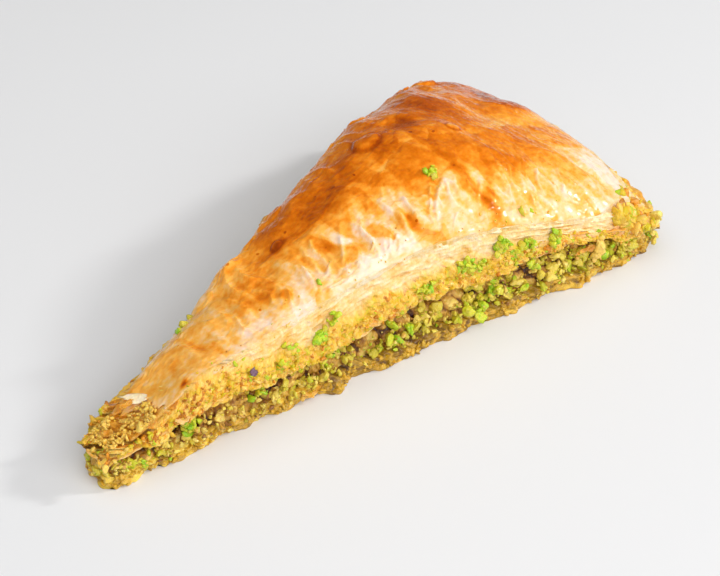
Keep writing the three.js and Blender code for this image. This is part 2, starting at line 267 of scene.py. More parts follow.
def crust_browning(u, v, points, ridges, sheet):
    """How dark the sheet is baked: pale on the flanks, golden to amber along the crown and in its pools,
    with a painted highlight on the creases' crests and painted shade deepening the amber in the folds'
    troughs.
    """
    from_front = (v + 1) * half_width(u)
    x, y = points[..., 0], points[..., 1]
    over = lumps_over(x, y)
    # The baked crown begins at a shoulder above the flank, along a line that wanders
    small_wander = mix(3, 1.5, smooth(u, 0.62, 0.8)) * (over(4, 22) + ridges)
    wander = 4.5 * over(11, 21) + small_wander
    shoulder = mix(6, FLANK_WIDTH + 1, smooth(u, 0.12, 0.42)) - 4 * smooth(u, 0.62, 0.75)
    shoulder -= 6 * smooth(u, 0.88, 1)
    soft = 8 * smooth(u, 0.62, 0.9) + 7 * fade(u, 0.36, 0.5)
    baked = smooth(from_front - wander, shoulder - 4 - soft / 2, shoulder + 4 + soft)
    brown = 0.12 + mix(0.28, 0.44, smooth(u, 0.15, 0.6)) * baked + 0.12 * smooth(u, 0.45, 0.6) * (1 - baked)
    # Darker behind the crown, paler along the back edge and at the rim, and paler on the creases as a
    # painted highlight
    brown = brown + 0.06 * smooth(v, -0.1, 0.6) * smooth(u, 0.2, 0.5) - 0.14 * smooth(v, 0.65, 1)
    brown -= mix(0.26, 0.06, smooth(v, -0.3, 0.5)) * smooth(u - 0.09 * v, 0.8, 0.97) * baked
    brown -= (0.03 + 0.17 * smooth(-v, -0.2, 0.5)) * smooth(u, 0.86, 0.98)
    # Painted highlight: the creases' crests are paler, standing in for the glints that catch on them
    brown -= 0.12 * np.clip(crease_height(x, y) / 0.5, 0, 1) * (1 - baked)
    brown += 0.22 * smooth(v, -0.55, -0.15) * smooth(u, 0.86, 0.95)
    brown += 0.1 * smooth(v, -0.95, -0.6) * fade(u, 0.42, 0.55) * (1 - baked)
    brown -= 0.06 * smooth(v, 0, 0.5) * smooth(u, 0.4, 0.5) * fade(u, 0.66, 0.76)
    brown = brown + 0.1 * over(9, 23) * baked + 0.04 * lumps(x + y, (x - y) / 3, 0, 2.5, 24)
    brown -= 0.04 * smooth(v, -0.9, -0.5) * fade(v, -0.4, 0) * fade(u, 0.2, 0.4)
    # Each torn sheet has its own tone, and syrup has soaked in as streaks down the flank and into the
    # folds' troughs, whose deeper amber is partly painted shade
    brown += 0.36 * (sheet - 0.5) * mix(0.3, mix(0.5, 1, smooth(u, 0.35, 0.5)), baked)
    streaks = lumps(x + 2 * over(5, 34), from_front / 3.5, 0, 2.4, 28)
    soaked = smooth(streaks, 0.22, 0.4) * smooth(lumps(x, y, 3, 12, 33), -0.4, 0.2)
    # The folds' troughs turn deeper amber: partly syrup pooled there, partly painted shade
    soaked += 0.4 * smooth(-ridges, 0, 0.5)
    syrup_streaks_and_trough_shade = mix(0.18, 0.15, smooth(u, 0.6, 0.75)) * soaked - 0.08 * smooth(streaks, -0.1, -0.2)
    brown += syrup_streaks_and_trough_shade * (1 - 0.7 * baked)
    for place_u, place_v, reach, heading, strength in AMBER_POOLS:
        px, py = outline(place_u, place_v, CRUST_INSET)
        turn = math.radians(heading)
        along = (x - px) * math.cos(turn) + (y - py) * math.sin(turn)
        across = (y - py) * math.cos(turn) - (x - px) * math.sin(turn)
        away = np.hypot(along / 2, across) / (reach * (1 + 0.4 * over(2.5, 29)))
        brown += strength * np.exp(-away**2)
    for place_u, place_v, radius, _ in BLISTERS[:RINGED_BLISTERS]:
        px, py = outline(place_u, place_v, CRUST_INSET)
        away = np.hypot(x - px, (y - py) * BLISTER_STRETCH) / radius
        brown = brown + 0.25 * np.exp(-(((away - 1) / 0.2) ** 2)) - 0.1 * (away < 0.85)
    at_tip = 0.24 + 0.6 * (brown - 0.24)
    return np.clip(mix(at_tip, brown, smooth(u, 0.1, 0.22)), 0, 1)


def corner_break(x, y):
    """How far the top is broken back at the rim's front corner."""
    return 4.6 * smooth(x, 0.9 * LENGTH, 0.98 * LENGTH) * smooth(-y, 15, 30)


def edge_cut(u, v, number):
    """How far a skin's edge is broken back from the cut, uneven along it and less for each skin below."""
    x, y = u * LENGTH, v * RIM_HALF_WIDTH
    uneven = 0.6 + 0.45 * lumps(x, y, 0, 9, 41) + 0.25 * lumps(x, y, number / 2, 2.2, 42)
    return np.clip(uneven - 0.1 * number, 0, 2)


def mesh_piece(name, points, faces, **tones):
    """A mesh from points in millimetres, riding on the slice, with a value per point for each tone."""
    mesh = bpy.data.meshes.new(name)
    metres = (points - [TIP_TO_ORIGIN, 0, 0]) / 1000
    mesh.from_pydata(metres.tolist(), [], faces)
    for tone, values in tones.items():
        held = mesh.attributes.new(tone, "FLOAT", "POINT")
        held.data.foreach_set("value", values.astype(np.float32).ravel())
    outward = bmesh.new()
    outward.from_mesh(mesh)
    bmesh.ops.recalc_face_normals(outward, faces=outward.faces)
    outward.to_mesh(mesh)
    outward.free()
    mesh.shade_smooth()
    piece = bpy.data.objects.new(name, mesh)
    bpy.context.scene.collection.objects.link(piece)
    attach(piece, "root")
    return piece


def dress(piece, material, node):
    piece.data.materials.append(material)
    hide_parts(node)


def grid_faces(rows, columns, wrap=False):
    """Quads between neighbouring points of a grid, closed into a ring along its rows when it wraps."""
    i, j = np.meshgrid(np.arange(rows if wrap else rows - 1), np.arange(columns - 1), indexing="ij")
    k = (i + 1) % rows
    quads = np.stack([i * columns + j, k * columns + j, k * columns + j + 1, i * columns + j + 1], -1)
    return quads.reshape(-1, 4)


def grid_edge(rows, columns):
    """The loop of points round a grid."""
    index = np.arange(rows * columns).reshape(rows, columns)
    return np.concatenate([index[:-1, 0], index[-1, :-1], index[:0:-1, -1], index[0, :0:-1]])


def ring_faces(outer, inner):
    """Quads that join two loops of points of the same length."""
    return np.stack([outer, np.roll(outer, -1), np.roll(inner, -1), inner], -1)


def ladder_faces(loop, lead=0):
    """Quads across the inside of a loop, laced together from so many points before its end."""
    half = len(loop) // 2
    loop = np.roll(loop, lead)
    near, far = loop[:half], loop[::-1][:half]
    return np.stack([near[:-1], near[1:], far[1:], far[:-1]], -1)


def linear(code):
    """A colour given as sRGB hex, turned to the linear values that shaders take."""
    channels = [int(code[i:i + 2], 16) / 255 for i in (1, 3, 5)]
    return [c / 12.92 if c <= 0.04045 else ((c + 0.055) / 1.055) ** 2.4 for c in channels] + [1]


def add_node(tree, kind, inputs=None, stops=(), **settings):
    """Adds a shader node with its settings. An input given as a node or socket is linked, any other is set.
    A colour ramp's stops are pairs of place and sRGB hex."""
    node = tree.nodes.new("ShaderNode" + kind)
    for name, value in settings.items():
        setattr(node, name, value)
    for name, value in (inputs or {}).items():
        if isinstance(value, bpy.types.Node):
            value = value.outputs[0]
        if isinstance(value, bpy.types.NodeSocket):
            tree.links.new(value, node.inputs[name])
        else:
            node.inputs[name].default_value = value
    for number, (place, code) in enumerate(stops):
        while len(node.color_ramp.elements) < len(stops):
            node.color_ramp.elements.new(0.5)
        node.color_ramp.elements[number].position = place
        node.color_ramp.elements[number].color = linear(code)
    return node


def start_material(name):
    material = bpy.data.materials.new(name)
    material.use_nodes = True
    material.node_tree.nodes.clear()
    return material, material.node_tree


def millimetres(tree, stretch=1):
    """Places on the piece in millimetres, so that a pattern's scale is one over its real size. A stretch
    below 1 draws the pattern out along the slice."""
    place = add_node(tree, "TexCoord").outputs["Object"]
    return add_node(tree, "VectorMath", {0: place, 1: (1000 * stretch, 1000, 1000)}, operation="MULTIPLY")


def uneven(tree, place, size, detail, low, high, calm=0.3, strong=0.7):
    """Patches of a size in millimetres, their noise between calm and strong spread out from low to high."""
    patches = add_node(tree, "TexNoise", {"Vector": place, "Scale": 1 / size, "Detail": detail})
    inputs = {"Value": patches, "From Min": calm, "From Max": strong, "To Min": low, "To Max": high}
    return add_node(tree, "MapRange", inputs)


def tone_with(tree, name, *patterns):
    """The value that each point of the piece holds for a tone, with patterns added to it."""
    total = add_node(tree, "Attribute", attribute_name=name).outputs["Fac"]
    for pattern in patterns:
        total = add_node(tree, "Math", {0: total, 1: pattern}, operation="ADD")
    return total


def finish_surface(tree, inputs, place=None, size=1, depth=0, strength=1, **settings):
    """The one surface of a material. Its clear coat follows the same fine relief, with a size and depth in
    millimetres."""
    if place:
        relief = add_node(tree, "TexNoise", {"Vector": place, "Scale": 1 / size, "Detail": 4}, **settings)
        bump = add_node(tree, "Bump", {"Height": relief, "Strength": strength, "Distance": depth / 1000})
        inputs = {"Normal": bump, "Coat Normal": bump, **inputs}
    surface = add_node(tree, "BsdfPrincipled", inputs)
    add_node(tree, "OutputMaterial", {"Surface": surface})


def glazed_phyllo():
    """Baked phyllo under dried syrup: warm, a little see-through, a clear wet gloss over fine crinkles."""
    material, tree = start_material("syrup_glazed_phyllo")
    place = millimetres(tree)
    stretched = millimetres(tree, 0.6)
    mottle = uneven(tree, place, 2.2, 4, -0.08, 0.08)
    lines = uneven(tree, stretched, 1.1, 3, -0.05, 0.07, calm=0.35)
    specks = uneven(tree, place, 1.7, 0, 0, 0.3, calm=0.82, strong=0.87)
    color = add_node(tree, "ValToRGB", {"Fac": tone_with(tree, "browning", mottle, lines, specks)}, stops=[
        (0.0, "#fedfc6"), (0.14, "#ffd09a"), (0.28, "#fdb854"), (0.42, "#f49a2c"), (0.56, "#e27c10"),
        (0.7, "#cc6600"), (0.85, "#b25000"), (1.0, "#943c00")])
    finish_surface(tree, {
        "Base Color": color, "Roughness": uneven(tree, place, 1.6, 3, 0.2, 0.42, calm=0.35), "IOR": 1.45,
        "Specular IOR Level": 0.06, "Subsurface Weight": 0.3, "Subsurface Radius": (1.0, 0.45, 0.12),
        "Subsurface Scale": 0.0012, "Coat Weight": 0.65, "Coat Roughness": 0.04, "Coat IOR": 1.34,
    }, stretched, size=1.3, depth=0.25, strength=0.9, noise_type="RIDGED_MULTIFRACTAL")
    return material


glazed = glazed_phyllo()
share_u, share_v = np.meshgrid(
    np.linspace(0, 1, CRUST_ROWS), np.linspace(-1, 1, CRUST_COLUMNS), indexing="ij")
crust_v = 0.6 * share_v + 0.4 * np.sin(share_v * math.pi / 2)
torn = TORN_TIP + 0.014 * lumps(crust_v * 8, 0, 0, 1.6, 31) + 0.004 * lumps(crust_v * 8, 0, 0, 0.5, 32)
torn += 0.03 * smooth(crust_v, 0.6, -0.2)
broken = edge_cut(share_u, crust_v, 0)
crust_u = torn + share_u * (1 - torn - broken / LENGTH)
broken += corner_break(crust_u * LENGTH, crust_v * RIM_HALF_WIDTH)
crust_v = crust_v * (1 - broken / half_width(crust_u))
crust_points, *crust_relief = crust_surface(crust_u, crust_v)
crust_tone = crust_browning(crust_u, crust_v, crust_points, *crust_relief).ravel()
crust_points = crust_points.reshape(-1, 3)
edge_loop = grid_edge(CRUST_ROWS, CRUST_COLUMNS)
under_loop = len(crust_points) + np.arange(len(edge_loop))
under_points = crust_points[edge_loop] * [0.99, 0.97, 1] + [0.9, 0, -0.4]
crust_faces = [grid_faces(CRUST_ROWS, CRUST_COLUMNS), ring_faces(edge_loop, under_loop),
               ladder_faces(under_loop, CRUST_COLUMNS // 2)]
crust = mesh_piece(
    "glazed_crust", np.concatenate([crust_points, under_points]), np.concatenate(crust_faces).tolist(),
    browning=np.concatenate([crust_tone, crust_tone[edge_loop]]))
dress(crust, glazed, "top_phyllo")

# Leaf stack
# Under the crust lie some two dozen buttered phyllo leaves, pressed together. Their cut edges show as fine
# lines round the slice, and the lower ones have crumbled to golden grains with bits of pistachio in them.
STACK_SAMPLES, STACK_ROWS = 1350, 46
LEAF_LINES = 14
# Neighbouring leaves take their lumps from heights so many millimetres apart, so that each has its own
LEAVES_APART = 9


def around(count, start=0.0):
    """Points evenly round the slice's edge, as u and v: front, rim, back and the end at the tip."""
    side_length = (1 - start) * LENGTH
    lengths = np.array([side_length, 2 * half_width(1), side_length, 2 * half_width(start)])
    walk = np.arange(count) / count * lengths.sum()
    starts = np.concatenate([[0], np.cumsum(lengths)[:-1]])
    side = np.searchsorted(starts, walk, side="right") - 1
    t = (walk - starts[side]) / lengths[side]
    u = np.choose(side, [mix(start, 1, t), np.ones(count), mix(1, start, t), np.full(count, start)])
    v = np.choose(side, [-np.ones(count), 2 * t - 1, np.ones(count), 1 - 2 * t])
    return u, v


def side_wall(samples, rows):
    """For each point of the slice's side: u, v, its share of the height, x, y and the lumps there."""
    u, v = (side[:, None] for side in around(samples))
    x, y = outline(u, v, 0)
    return u, v, np.linspace(0, 1, rows)[None, :], x, y, lumps_over(x, y)


def closed_ribbons(grids):
    """Points and faces of rings given as grids, each section closed on itself."""
    points, faces = [], []
    for grid in grids:
        samples, columns, _ = grid.shape
        first = sum(len(part) for part in points)
        first_column = np.arange(samples) * columns
        closing = ring_faces(first_column + columns - 1, first_column)
        faces.append(first + np.concatenate([grid_faces(samples, columns, wrap=True), closing]))
        points.append(grid.reshape(-1, 3))
    return np.concatenate(points), np.concatenate(faces).tolist()


def stack_underside(u, v):
    front = profile(UNDERSIDE_AT_TIP, UNDERSIDE_FRONT, u)
    back = profile(UNDERSIDE_AT_TIP, UNDERSIDE_BACK, u)
    return mix(front, back, (v + 1) / 2)


def walled_piece(name, grid, **tones):
    """A closed piece from the ring of its side, rows running from its lower edge to its upper one."""
    samples, rows, _ = grid.shape
    low_loop = np.arange(samples) * rows
    caps = [ladder_faces(low_loop), ladder_faces(low_loop + rows - 1)]
    faces = [grid_faces(samples, rows, wrap=True), *caps]
    return mesh_piece(name, grid.reshape(-1, 3), np.concatenate(faces).tolist(), **tones)


def leaf_edges(level):
    """The number of the leaf at each height, given in leaves, and how far its rounded edge stands out."""
    number = np.floor(level)
    return number, np.sqrt(1 - (2 * (level - number) - 1) ** 2)


def crumbed_phyllo():
    """Cut edges of buttered phyllo, cream to straw yellow, moist with syrup, crumbled to golden grains."""
    material, tree = start_material("crumbed_phyllo_edge")
    place = millimetres(tree)
    mottle = uneven(tree, place, 1.3, 4, -0.15, 0.15)
    leaf_color = add_node(tree, "ValToRGB", {"Fac": tone_with(tree, "browning", mottle)}, stops=[
        (0.0, "#ffe9c0"), (0.25, "#fdd390"), (0.5, "#f3b650"), (0.8, "#cf8418"), (1.0, "#8f4a00")])
    kind = tone_with(tree, "kind", uneven(tree, place, 0.5, 4, -0.06, 0.06))
    crumb_color = add_node(tree, "ValToRGB", {"Fac": kind}, stops=[
        (0.0, "#aed024"), (0.15, "#d0c82a"), (0.35, "#e2b828"), (0.55, "#f2bc38"), (0.78, "#ffd468"),
        (0.9, "#ee9e24"), (1.0, "#b87014")])
    color = add_node(tree, "Mix", {"Factor": tone_with(tree, "crumbed"), "A": leaf_color, "B": crumb_color},
                     data_type="RGBA").outputs["Result"]
    finish_surface(tree, {
        "Base Color": color, "Roughness": uneven(tree, place, 0.8, 3, 0.25, 0.5), "IOR": 1.45,
        "Specular IOR Level": 0.25, "Subsurface Weight": 0.25, "Subsurface Radius": (1.0, 0.6, 0.15),
        "Subsurface Scale": 0.001, "Coat Weight": 0.5, "Coat Roughness": 0.1,
    }, place, size=0.5, depth=0.4, strength=0.7)
    return material


crumbed = crumbed_phyllo()
stack_u, stack_v, stack_w, stack_x, stack_y, stack_lumps = side_wall(STACK_SAMPLES, STACK_ROWS)
near_tip = fade(stack_u, 0.06, 0.2)
tip_cave = np.exp(-(((stack_u - 0.055) / 0.03) ** 2)) * (stack_v == FRONT)
stack_low = stack_underside(stack_u, stack_v) - 0.7 - 0.8 * stack_lumps(3.2, 101)
stack_low = stack_low + 2.2 * near_tip * stack_lumps(4.5, 110) + 2 * tip_cave
stack_low += 1.2 * (1 - near_tip) * stack_lumps(4, 111)
stack_high = crust_edge(stack_u, stack_v) + 0.7 - 2.2 * fade(stack_u, 0.06, 0.16)
stack_z = mix(stack_low, stack_high, stack_w)

# Whole leaves in the upper part, and grains below the line where they have crumbled
level = stack_w * LEAF_LINES + 0.8 * stack_lumps(14, 102) + 0.35 * stack_lumps(4, 103, stack_z)
leaf_number, leaf_round = leaf_edges(level)
leaf_place = leaf_number * LEAVES_APART
leaf_reach = 0.35 * stack_lumps(5, 104, leaf_place) + 0.3 * stack_lumps(1.5, 105, leaf_place)
crumbly = stack_w - 0.22 * stack_lumps(7, 106) - 0.12 * stack_lumps(2, 107, stack_z)
crumbled_to = 0.8 - 0.22 * smooth(stack_u, 0.14, 0.3) - 0.26 * smooth(stack_u, 0.55, 0.8)
crumbled_to += 0.4 * fade(stack_u, 0.03, 0.12)
crumbly = fade(crumbly, crumbled_to - 0.12, crumbled_to + 0.1)
grain, grain_number = grains(stack_x, stack_y, stack_z, 2.2, 108)
small_grain, small_number = grains(stack_x, stack_y, stack_z, 1, 112)
leaf_out = 0.16 * leaf_round + leaf_reach + 0.2 * stack_lumps(0.9, 109, stack_z)
stack_out = mix(leaf_out, 1.2 * grain + 0.9 * small_grain - 0.4, crumbly)
stack_out += 0.5 * stack_lumps(8, 116, stack_z)
stack_out += near_tip * (1.6 * stack_lumps(3.5, 118, stack_z) - 0.4)
stack_inset = 0.5 + 0.9 * stack_w + 0.4 * smooth(stack_w, 0.8, 1) - stack_out
stack_corner = corner_break(stack_x, stack_y) * smooth(stack_w, 0.1, 0.8)
stack_grid = np.stack([*outline(
    stack_u, stack_v, stack_inset + stack_corner, stack_inset + RIM_LEAN * stack_w * (1 - stack_v),
    stack_inset + 2.5 * stack_w), stack_z], -1)
tip_tone = 0.2 * (1 - 0.6 * fade(stack_u, 0.05, 0.12)) * fade(stack_u, 0.2, 0.4)
# Painted shade and light on the cut edges: darker in the grooves between the leaves, paler where a leaf
# stands further out
leaf_tone_and_shade = 0.2 + tip_tone + 0.18 * (1 - leaf_round) - 0.25 * leaf_reach
leaf_tone_and_shade += 0.15 * stack_lumps(5, 117, stack_z)
tip_kind = 0.25 * near_tip * (1 + stack_lumps(5, 119, stack_z))
crumb_kind = 0.06 + mix(grain_number, small_number, 0.7) + tip_kind
stack = walled_piece("leaf_stack", stack_grid, browning=np.clip(leaf_tone_and_shade, 0, 1), crumbed=crumbly,
                     kind=np.clip(crumb_kind, 0, 1))
dress(stack, crumbed, "top_phyllo")

# Broken skins
# The next few phyllo sheets under the crust, each broken back a little less along the cut as it is sliced,
# so that their edges step down to the leaf stack as fine lines.
SKIN_COUNT = 4
SKIN_SAMPLES = 1000
SKIN_TIP = 0.022
SKIN_THICKNESS = 0.16
SKIN_SECTION = [(3.5, 7), (0.4, 0), (0, 0.3), (0, 1), (0.3, 2), (3.5, 8)]

edge_u, edge_v = around(SKIN_SAMPLES, SKIN_TIP)
skin_grids, skin_tones = [], []
for number in range(1, SKIN_COUNT + 1):
    broken = edge_cut(edge_u, edge_v, number)
    section = []
    for depth, below in SKIN_SECTION:
        inset = broken + depth
        inner_u = np.clip(edge_u, SKIN_TIP + inset / LENGTH, 1 - inset / LENGTH)
        reach = 1 - (inset + corner_break(edge_u * LENGTH, edge_v * RIM_HALF_WIDTH)) / half_width(inner_u)
        inner_v = np.clip(edge_v, -reach, reach)
        points, *relief = crust_surface(inner_u, inner_v, SKIN_THICKNESS * (number - 1 + below))
        section.append(points)
        golden_tip = 0.45 * fade(inner_u, 0.07, 0.12)
        skin_tone = 0.05 + 0.8 * crust_browning(inner_u, inner_v, points, *relief) + 0.05 * (number % 2)
        skin_tones.append(skin_tone + golden_tip)
    skin_grids.append(np.stack(section, 1))
skin_tones = np.array(skin_tones).reshape(SKIN_COUNT, len(SKIN_SECTION), SKIN_SAMPLES).transpose(0, 2, 1)
skins = mesh_piece("broken_skins", *closed_ribbons(skin_grids), browning=skin_tones)
dress(skins, crumbed, "top_phyllo")

# Stray leaves
# A few of the stack's leaves stick out over the filling as thin pale lips of buttered phyllo, torn and
# missing in places. They were cut in one stroke with the rest and have dried a little apart.
LIP_LEVELS = [0.0, 0.07, 0.3]
LIP_SAMPLES = 900
LIP_THICKNESS = 0.35
LIP_SECTION = [(4, -0.5), (0.25, -0.5), (0.0, -0.15), (0.0, 0.2), (0.3, 0.5), (4, 0.5)]

lip_u, lip_v = around(LIP_SAMPLES)
lip_lumps = lumps_over(*outline(lip_u, lip_v, 0))
lip_grids, lip_tones = [], []
for number, level in enumerate(LIP_LEVELS):
    lip_place = number * LEAVES_APART
    torn_back = 1.2 * lip_lumps(8, 130, lip_place) + 0.5 * lip_lumps(2, 131, lip_place)
    waved = 0.5 * lip_lumps(6, 132, lip_place) + 0.2 * lip_lumps(1.8, 133, lip_place)
    height = mix(stack_underside(lip_u, lip_v), crust_edge(lip_u, lip_v), level) - 0.5 + waved
    section = []
    for depth, up in LIP_SECTION:
        inset = 0.5 + torn_back + depth
        section.append(np.stack([*outline(lip_u, lip_v, inset), height + up * LIP_THICKNESS], -1))
    lip_grids.append(np.stack(section, 1))
    lip_tones.append(np.full((LIP_SAMPLES, len(LIP_SECTION)), 0.35 + 0.1 * number))
lips = mesh_piece("stray_leaves", *closed_ribbons(lip_grids), browning=np.array(lip_tones),
                  crumbed=np.zeros_like(lip_tones), kind=np.zeros_like(lip_tones))
dress(lips, crumbed, "top_phyllo")

# Chopped pistachio
# Coarsely chopped nuts between the stack and the bottom leaves, moist with syrup: yellow-green meat, brown
# and purple skins, dark hollows between them, painted darker as shade. A packed bed with loose pieces and
# crumbs over its sides.
BED_SAMPLES, BED_ROWS = 1200, 32
BED_LOW = 2.0
NUT_COUNT = 480
CRUMB_COUNT = 1700
# Nuts that stick out at the rim's front corner, in millimetres
CORNER_NUTS = [(148.9, -36, 6.8), (149.4, -34.8, 3), (147.6, -36.6, 3), (150, -33.4, 6),
               (150.8, -31.5, 3), (148.9, -35.2, 9), (150.6, -31.5, 9), (147.2, -36.8, 8),
               (149.6, -35.4, 7.6), (149.8, -35, 5.4)]
# Deep gaps between the nuts, as u, side, height, radius and depth in millimetres
HOLLOWS = [(0.379, FRONT, 7.5, 3.5, 5), (0.416, FRONT, 8.5, 4, 5), (0.45, FRONT, 9.5, 3, 3.5),
           (0.693, FRONT, 10, 3, 4), (0.242, FRONT, 9, 3, 4), (0.58, FRONT, 10.5, 3, 3),
           (0.11, FRONT, 7.5, 4.5, 6), (0.05, FRONT, 6.5, 3, 5), (0.3, BACK, 8, 4, 4), (0.6, BACK, 9, 4, 4),
           (0.8, BACK, 9, 4, 4)]
HOLLOW_STRETCH = 1.3
# The share of a wall's samples that lies on the front cut, and of its bits that are put there alone
FRONT_SAMPLES, FRONT_BITS = 0.39, 0.25
nut_rng = np.random.default_rng(7)


def pistachio():
    """Chopped pistachio: waxy yellow-green to golden meat with thin dull brown skins, wet with syrup. Its
    darkest browns also serve as painted shade in the gaps of the bed.
    """
    material, tree = start_material("chopped_pistachio")
    place = millimetres(tree)
    kind = tone_with(tree, "kind", uneven(tree, place, 0.9, 4, -0.06, 0.06))
    color = add_node(tree, "ValToRGB", {"Fac": kind}, stops=[
        (0.0, "#98cc1c"), (0.05, "#b8d824"), (0.12, "#d8d82e"), (0.2, "#d2c238"), (0.35, "#ecd44c"),
        (0.5, "#f8dc70"), (0.62, "#e0ac48"), (0.78, "#965f12"), (0.9, "#482605"), (1.0, "#7b5a6e")])
    finish_surface(tree, {
        "Base Color": color, "Roughness": uneven(tree, place, 0.7, 3, 0.28, 0.55), "IOR": 1.46,
        "Specular IOR Level": 0.3, "Subsurface Weight": 0.15, "Subsurface Radius": (0.8, 0.7, 0.15),
        "Subsurface Scale": 0.001, "Coat Weight": 0.6, "Coat Roughness": 0.12,
    }, place, size=0.6, depth=0.6, strength=0.8)
    return material


def broken_shapes(rng, subdivisions, count, cuts, knobs):
    """Blunt lumps with broken faces and small knobs, as unit shapes to be scaled and turned."""
    ball = bmesh.new()
    bmesh.ops.create_icosphere(ball, subdivisions=subdivisions, radius=1)
    points = np.array([vertex.co for vertex in ball.verts])
    faces = np.array([[vertex.index for vertex in face.verts] for face in ball.faces])
    ball.free()
    shapes = []
    for number in range(count):
        knobbly = lumps(*(points.T + 10 * number), 0.45, 71)[:, None]
        shape = points * (1 + knobs * knobbly)
        for _ in range(cuts):
            normal = rng.normal(size=3)
            normal /= np.linalg.norm(normal)
            beyond = np.maximum(shape @ normal - rng.uniform(0.35, 0.8), 0)
            shape = shape - beyond[:, None] * normal
        shapes.append(shape + rng.normal(scale=0.03, size=shape.shape))
    return np.stack(shapes), faces


def scattered(name, rng, shapes, faces, centres, sizes, kinds, squash=0.75, **tones):
    """One piece of many turned and scaled lumps, one at each centre. Other tones are the same all over."""
    count = len(centres)
    stretch = 1 + rng.uniform(-0.3, 0.3, size=(count, 1, 3))
    stretch[..., 2] *= squash
    turns, _ = np.linalg.qr(rng.normal(size=(count, 3, 3)))
    turned = np.einsum("nij,nkj->nki", turns, shapes[rng.integers(len(shapes), size=count)] * stretch)
    points = centres[:, None] + turned * np.reshape(sizes, (-1, 1, 1))
    points[..., 2] = np.maximum(points[..., 2], 0.1)
    every_face = faces[None] + (np.arange(count) * points.shape[1])[:, None, None]
    kind = np.repeat(np.clip(kinds, 0, 1), points.shape[1])
    tones = {tone: np.full(len(kind), value) for tone, value in tones.items()}
    return mesh_piece(name, points.reshape(-1, 3), every_face.reshape(-1, 3).tolist(), kind=kind, **tones)


def places_on(rng, wall, count, low, high, outward):
    """Random places on a wall between two shares of its rows, moved out by a random amount in a range."""
    samples, rows, _ = wall.shape
    pick = np.where(rng.random(count) < FRONT_BITS, rng.integers(int(FRONT_SAMPLES * samples), size=count),
                    rng.integers(samples, size=count))
    places = wall[pick, rng.integers(int(low * rows), int(high * rows), size=count)]
    along = wall[(pick + 3) % samples, 0] - wall[pick - 3, 0]
    out = np.stack([along[:, 1], -along[:, 0], np.zeros(count)], -1)
    out /= np.linalg.norm(out, axis=1, keepdims=True)
    slim = mix(0.3, 1, smooth(places[:, :1] / LENGTH, 0, 0.15))
    return places + out * slim * rng.uniform(*outward, size=(count, 1))


nut_finish = pistachio()
bed_u, bed_v, bed_w, bed_x, bed_y, bed_lumps = side_wall(BED_SAMPLES, BED_ROWS)
bed_z = mix(BED_LOW, stack_underside(bed_u, bed_v) + 0.5, bed_w)
nut, nut_number = grains(bed_x, bed_y, bed_z, 2.7, 140)
crumb, crumb_number = grains(bed_x, bed_y, bed_z, 1.1, 144)
gap = smooth(bed_w, 0.4, 0.75) * (3 + 3 * bed_lumps(7, 148)) * mix(1, 0.7, smooth(bed_u, 0.55, 0.75))
for place_u, side, height, radius, depth in HOLLOWS:
    away = np.hypot((bed_u - place_u) * LENGTH, (bed_z - height) * HOLLOW_STRETCH) / radius
    gap += depth * np.exp(-away**4) * (bed_v == side)
bed_inset = 4.2 + gap + 1.5 * bed_lumps(4.5, 149, bed_z) - 1.7 * nut - 0.7 * crumb
bed_inset = bed_inset * mix(0.5, 1, smooth(bed_u, 0, 0.15))
bed_grid = np.stack([*outline(bed_u, bed_v, bed_inset), bed_z + 0 * bed_inset], -1)
# Darker between the nuts and in the deep gaps: partly syrup, partly painted shade
shade_and_syrup_between_nuts = 0.4 * fade(nut, 0.3, 0.8) + 0.3 * smooth(gap, 1.5, 4)
bed_kind = 0.47 + 0.35 * mix(nut_number, crumb_number, 0.4) + shade_and_syrup_between_nuts
bed = walled_piece("nut_bed", bed_grid, kind=np.clip(bed_kind, 0, 0.9))
dress(bed, nut_finish, "pistachio_filling")


def clear_of_hollows(places):
    """The places that leave the deep gaps on the front open."""
    kept = np.ones(len(places), bool)
    for place_u, side, height, radius, _ in HOLLOWS:
        away = np.hypot(places[:, 0] - place_u * LENGTH, (places[:, 2] - height) * HOLLOW_STRETCH)
        kept &= (away > 0.85 * radius) | (np.sign(places[:, 1]) != side)
    return places[kept]


def nut_kinds(places, low, spread):
    """Where each bit lies between green and brown: mostly yellow-green, browner towards the tip."""
    along = places[:, 0] / LENGTH
    browner = 0.25 * smooth(along, 0.06, 0.16) * fade(along, 0.2, 0.36) - 0.05
    return np.clip(low + spread * nut_rng.beta(1.6, 2, size=len(places)) + browner, 0.04, 0.8)


nut_places = clear_of_hollows(places_on(nut_rng, bed_grid, NUT_COUNT, 0.1, 0.74, (0, 2.6)))
nut_kind = nut_kinds(nut_places, 0.05, 0.54)
nut_kind = np.append(nut_kind, nut_rng.uniform(0.3, 0.75, size=len(CORNER_NUTS)))
nut_places = np.append(nut_places, CORNER_NUTS, axis=0)
nut_sizes = nut_rng.uniform(0.7, 1.8, size=len(nut_places))
nut_sizes = nut_sizes * mix(0.65, 1, smooth(nut_places[:, 0] / LENGTH, 0.25, 0.5))
nut_shapes = broken_shapes(nut_rng, 3, 14, 4, 0.4)
nuts = scattered("pistachio_pieces", nut_rng, *nut_shapes, nut_places, nut_sizes, nut_kind)
crumb_shapes = broken_shapes(nut_rng, 2, 12, 8, 0.5)
crumb_places = clear_of_hollows(places_on(nut_rng, bed_grid, CRUMB_COUNT, 0, 0.8, (-0.2, 3.2)))
crumbs = scattered(
    "pistachio_crumbs", nut_rng, *crumb_shapes, crumb_places,
    sizes=nut_rng.uniform(0.3, 0.8, size=len(crumb_places)), kinds=nut_kinds(crumb_places, 0.05, 0.85))
for piece in (nuts, crumbs):
    dress(piece, nut_finish, "pistachio_filling")

# Crumbs on the cut
# Golden pastry crumbs and bright green nut bits that the knife dragged out. They stick to the syrup on the
# stack's lower half, in clusters on the cut, and lie heaped on the torn tip and the corner at the rim.
SIDE_CRUMBS = 1050
HIGH_CRUMBS = 450
CRUST_CRUMBS = 70
TIP_CRUMBS = 230
CORNER_CRUMBS = 75
